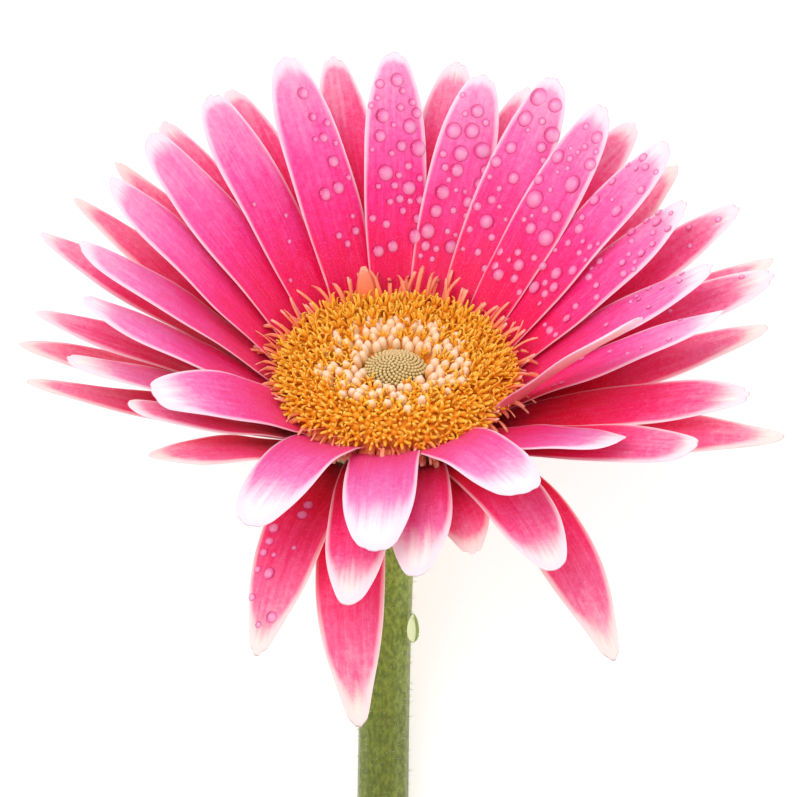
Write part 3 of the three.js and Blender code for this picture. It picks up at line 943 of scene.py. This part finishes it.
def bract(shape, turn, foot, top, away, heights, radii):
    """A lance-shaped scale that hugs the cup."""
    rows = 9
    columns = 7
    points = []
    for side in (1, -1):
        for r in range(rows):
            share = r / (rows - 1)
            height = mix(foot, top, share)
            base = float(np.interp(height, heights, radii)) + away + 0.5 * share**3
            half = 0.2 * (1 - share**2.2) + 0.012
            for c in range(columns):
                u = 2 * c / (columns - 1) - 1
                thick = 0.3 * (1 - u * u) * (1 - share**4) * side
                ridge = 0.12 * (1 - abs(u)) if side > 0 else 0
                points.append(around(turn + u * half, base + thick + ridge - 0.25 * abs(u), height))
    faces = []
    layer = rows * columns
    for r in range(rows - 1):
        for c in range(columns - 1):
            a = r * columns + c
            faces.append((a, a + 1, a + columns + 1, a + columns))
            faces.append((layer + a, layer + a + columns, layer + a + columns + 1, layer + a + 1))
    edge = list(range(columns))
    edge += [r * columns + columns - 1 for r in range(1, rows)]
    edge += [(rows - 1) * columns + c for c in range(columns - 2, -1, -1)]
    edge += [r * columns for r in range(rows - 2, 0, -1)]
    for a, b in zip(edge, edge[1:] + edge[:1]):
        faces.append((b, a, layer + a, layer + b))
    shape.add(points, faces)


# ---- Stem ----

def stem_line():
    """The scape's centre line and radius, from the neck to the cut end."""
    rings = rings_between_poles("stem")
    if rings[0][0].y < rings[-1][0].y:
        rings.reverse()
    centres = [sum(ring, Vector()) / len(ring) for ring in rings[1:-1]]
    radii = [(ring[0] - centre).length for ring, centre in zip(rings[1:-1], centres)]
    return centres, radii


def smoothed(line):
    """The line with its small corners averaged away, but not at its ends."""
    half = SMOOTH_OVER // 2
    kernel = np.ones(SMOOTH_OVER) / SMOOTH_OVER
    inner = slice(half + 1, -half - 1)
    result = line.copy()
    for k in range(3):
        padded = np.concatenate([np.full(half, line[0, k]), line[:, k], np.full(half, line[-1, k])])
        result[inner, k] = np.convolve(padded, kernel, "valid")[inner]
    return result


def build_stem():
    centres, radii = stem_line()
    knots = np.arange(len(centres))
    at = np.linspace(0, len(centres) - 1, STEM_STEPS)
    rough = [[float(np.interp(a, knots, [c[k] for c in centres])) for k in range(3)] for a in at]
    line = smoothed(np.array(rough))
    radius = np.interp(at, knots, radii)
    along = unit(np.gradient(line, axis=0))
    across = unit(np.array([1.0, 0, 0]) - along * along[:, :1])
    out = np.cross(along, across)
    angles = np.arange(STEM_SIDES) * math.tau / STEM_SIDES
    points = [Vector(line[0])]
    for i in range(STEM_STEPS):
        ribs = 1 + 0.012 * np.sin(angles * 12 + 0.6 * math.sin(i / 40)) + 0.008 * np.sin(angles * 3 + i / 33)
        swell = 1 + 0.01 * math.sin(i / 9.0) + 0.012 * math.sin(i / 23.0)
        girth = radius[i] * swell * ribs * STEM_FIT
        circle = across[i] * np.cos(angles)[:, None] + out[i] * np.sin(angles)[:, None]
        points += [Vector(p) for p in line[i] + circle * girth[:, None]]
    end = points[-STEM_SIDES:]
    centre = Vector(line[-1])
    back = Vector(along[-1])
    for share, hollow in CUT_RINGS:
        points += [centre + (p - centre) * share - back * (hollow * MM) for p in end]
    points.append(centre - back * MM)
    cut_count = len(CUT_RINGS) * STEM_SIDES + 1
    # darker towards the cut end: the value rises from 0 near the head to 1 between 3 and 16 per cent of the
    # way down the stem
    age = [float(k) for k in smooth(0.03, 0.16, np.linspace(0, 1, STEM_STEPS))]
    ages = [0.0] + [a for a in age for _ in range(STEM_SIDES)] + [1.0] * cut_count
    cuts = [0.0] * (1 + STEM_STEPS * STEM_SIDES) + [1.0] * cut_count
    shape = Shape()
    shape.add(points, tube_faces(STEM_STEPS + len(CUT_RINGS), STEM_SIDES), age=ages, cut=cuts)
    material = green_material("stem_skin", "667C14", "92A832", 1700, 0.5)
    shape.piece("scape", "stem_green", material, "stem")
    build_hairs(line, radius, across, out)


def build_hairs(line, radius, across, out):
    """The fine down on the scape."""
    shape = Shape()
    for _ in range(HAIR_COUNT):
        i = int(rng.random() ** 1.6 * (len(line) - 1))
        angle = rng.uniform(0, math.tau)
        away = Vector(across[i] * math.cos(angle) + out[i] * math.sin(angle))
        root = Vector(line[i]) + away * radius[i] * 0.97
        slip = Vector((rng.uniform(-1, 1), rng.uniform(-1, 1), rng.uniform(-1, 1))) * 0.35
        length = rng.uniform(0.35, 0.9) * MM
        tip = root + (away + slip) * length
        if tip.z < HAIR_CLEARANCE:
            continue
        points, faces = strand([root, tip], [0.035 * MM, 0.012 * MM], 3, hint=Vector((0.3, 0.2, 0.9)))
        shape.add(points, faces)
    shape.piece("scape_down", "stem_green", green_material("down", "B7C69A", "DDE6C8", 500, 0.5))


# ---- Water ----

def drop_form(shape, base, normal, along, size, height):
    """A dome of water that sits on a surface, with its foot a little under it, and light painted into its
    value lens.
    """
    along = (along - normal * along.dot(normal)).normalized()
    across = normal.cross(along)
    stretch = rng.uniform(1.0, 1.15)
    points = [base - normal * size * 0.12]
    lens = [0.0]
    for row in range(DROP_ROWS):
        angle = math.radians(mix(100, 16, row / (DROP_ROWS - 1)))
        for k in range(DROP_SIDES):
            turn = math.tau * k / DROP_SIDES
            out = along * (math.cos(turn) * stretch) + across * math.sin(turn)
            points.append(base + out * (size * math.sin(angle)) + normal * (height * math.cos(angle)))
            # lens paints light: painted shade on the foot ring and on the side towards the key light,
            # painted light on the far side where the drop focuses it, and a painted highlight towards the
            # top
            painted_focus_light = 0.4 * out.normalized().dot(FROM_LIGHT) * math.sin(angle)
            lens.append(max(0.0, mix(0.05, 0.75, math.cos(angle)) + painted_focus_light))
    points.append(base + normal * height)
    lens.append(0.8)
    shape.add(points, tube_faces(DROP_ROWS, DROP_SIDES), lens=lens)


def build_drops(petals):
    shape = Shape()
    for key, (count, largest, low, high) in DROPS.items():
        petal = petals[key]
        placed = []
        tries = 0
        while len(placed) < count and tries < MOST_TRIES:
            tries += 1
            t = rng.uniform(0.3, 0.93)
            u = rng.uniform(low, high)
            size = mix(0.4, largest, rng.random() ** 1.1)
            x, y = petal.flat(np.array(t), np.array(u))
            room = float(petal.half_at(t)) / MM * (1 - abs(u))
            clear = all(math.hypot(x - a, y - b) > size + c + 0.2 for a, b, c in placed)
            if not clear or room < size * 1.05:
                continue
            placed.append((x, y, size))
            steps = np.array([[t, u], [t + 0.01, u], [t, u + 0.02]])
            here, ahead, beside = petal.surface(steps[:, 0], steps[:, 1], 1)
            along = Vector(ahead - here)
            normal = along.cross(Vector(beside - here)).normalized()
            drop_form(shape, Vector(here), normal, along, size * MM, size * rng.uniform(0.5, 0.62) * MM)
    shape.piece("water_drops", "water", painted_light_dew_material())


def build_stem_drop():
    low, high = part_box("stem_droplet")
    centre = (low + high) / 2
    half = (high - low) / 2
    rows = 14
    sides = 24
    shape = Shape()
    points = [centre - Vector((0, half.y, 0))]
    for row in range(rows):
        share = (row + 0.5) / rows
        y = -math.cos(math.pi * share)
        girth = math.sin(math.pi * share) * (1 - 0.22 * y)
        for k in range(sides):
            turn = math.tau * k / sides
            offset = (half.x * girth * math.cos(turn), half.y * y, half.z * girth * math.sin(turn))
            points.append(centre + Vector(offset))
    points.append(centre + Vector((0, half.y, 0)))
    faces = [tuple(reversed(face)) for face in tube_faces(rows, sides)]
    shape.add(points, faces)
    shape.piece("stem_water", "water", water_material(), "stem_droplet")


# ---- Studio ----

def build_studio():
    corners = [(x * TABLE_HALF, y * TABLE_HALF, 0) for x, y in ((-1, -1), (1, -1), (1, 1), (-1, 1))]
    mesh = bpy.data.meshes.new("table")
    mesh.from_pydata(corners, [], [(0, 1, 2, 3)])
    mesh.materials.append(floor_material())
    table = linked("table", mesh)
    world = bpy.data.worlds.new("studio")
    world.use_nodes = True
    background = world.node_tree.nodes["Background"].inputs
    background["Color"].default_value = (1, 1, 1, 1)
    background["Strength"].default_value = WORLD_STRENGTH
    bpy.context.scene.world = world
    for name, strength, width, direction in LIGHTS:
        light = bpy.data.lights.new(name, "SUN")
        light.energy = strength
        light.angle = math.radians(width)
        linked(name, light).rotation_euler = direction.to_track_quat("Z", "Y").to_euler()


def build_camera():
    camera = bpy.data.cameras.new("camera")
    camera.sensor_width = SENSOR
    camera.lens = SENSOR * CAMERA_HEIGHT / FIELD_WIDTH
    camera.clip_end = 50
    holder = linked("camera", camera)
    holder.location = DISC + Vector((AIM_RIGHT, AIM_REAR, CAMERA_HEIGHT))
    bpy.context.scene.camera = holder


def dress_receptacle():
    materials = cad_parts["receptacle"].data.materials
    materials.clear()
    materials.append(green_material("receptacle_skin", "5E7B30", "88A04E", 700))


build_studio()
build_camera()
petals = build_rays()
build_buds()
build_open_disc()
build_crown()
build_bracts()
build_stem()
build_drops(petals)
build_stem_drop()
dress_receptacle()
bpy.context.scene.view_settings.view_transform = "Standard"
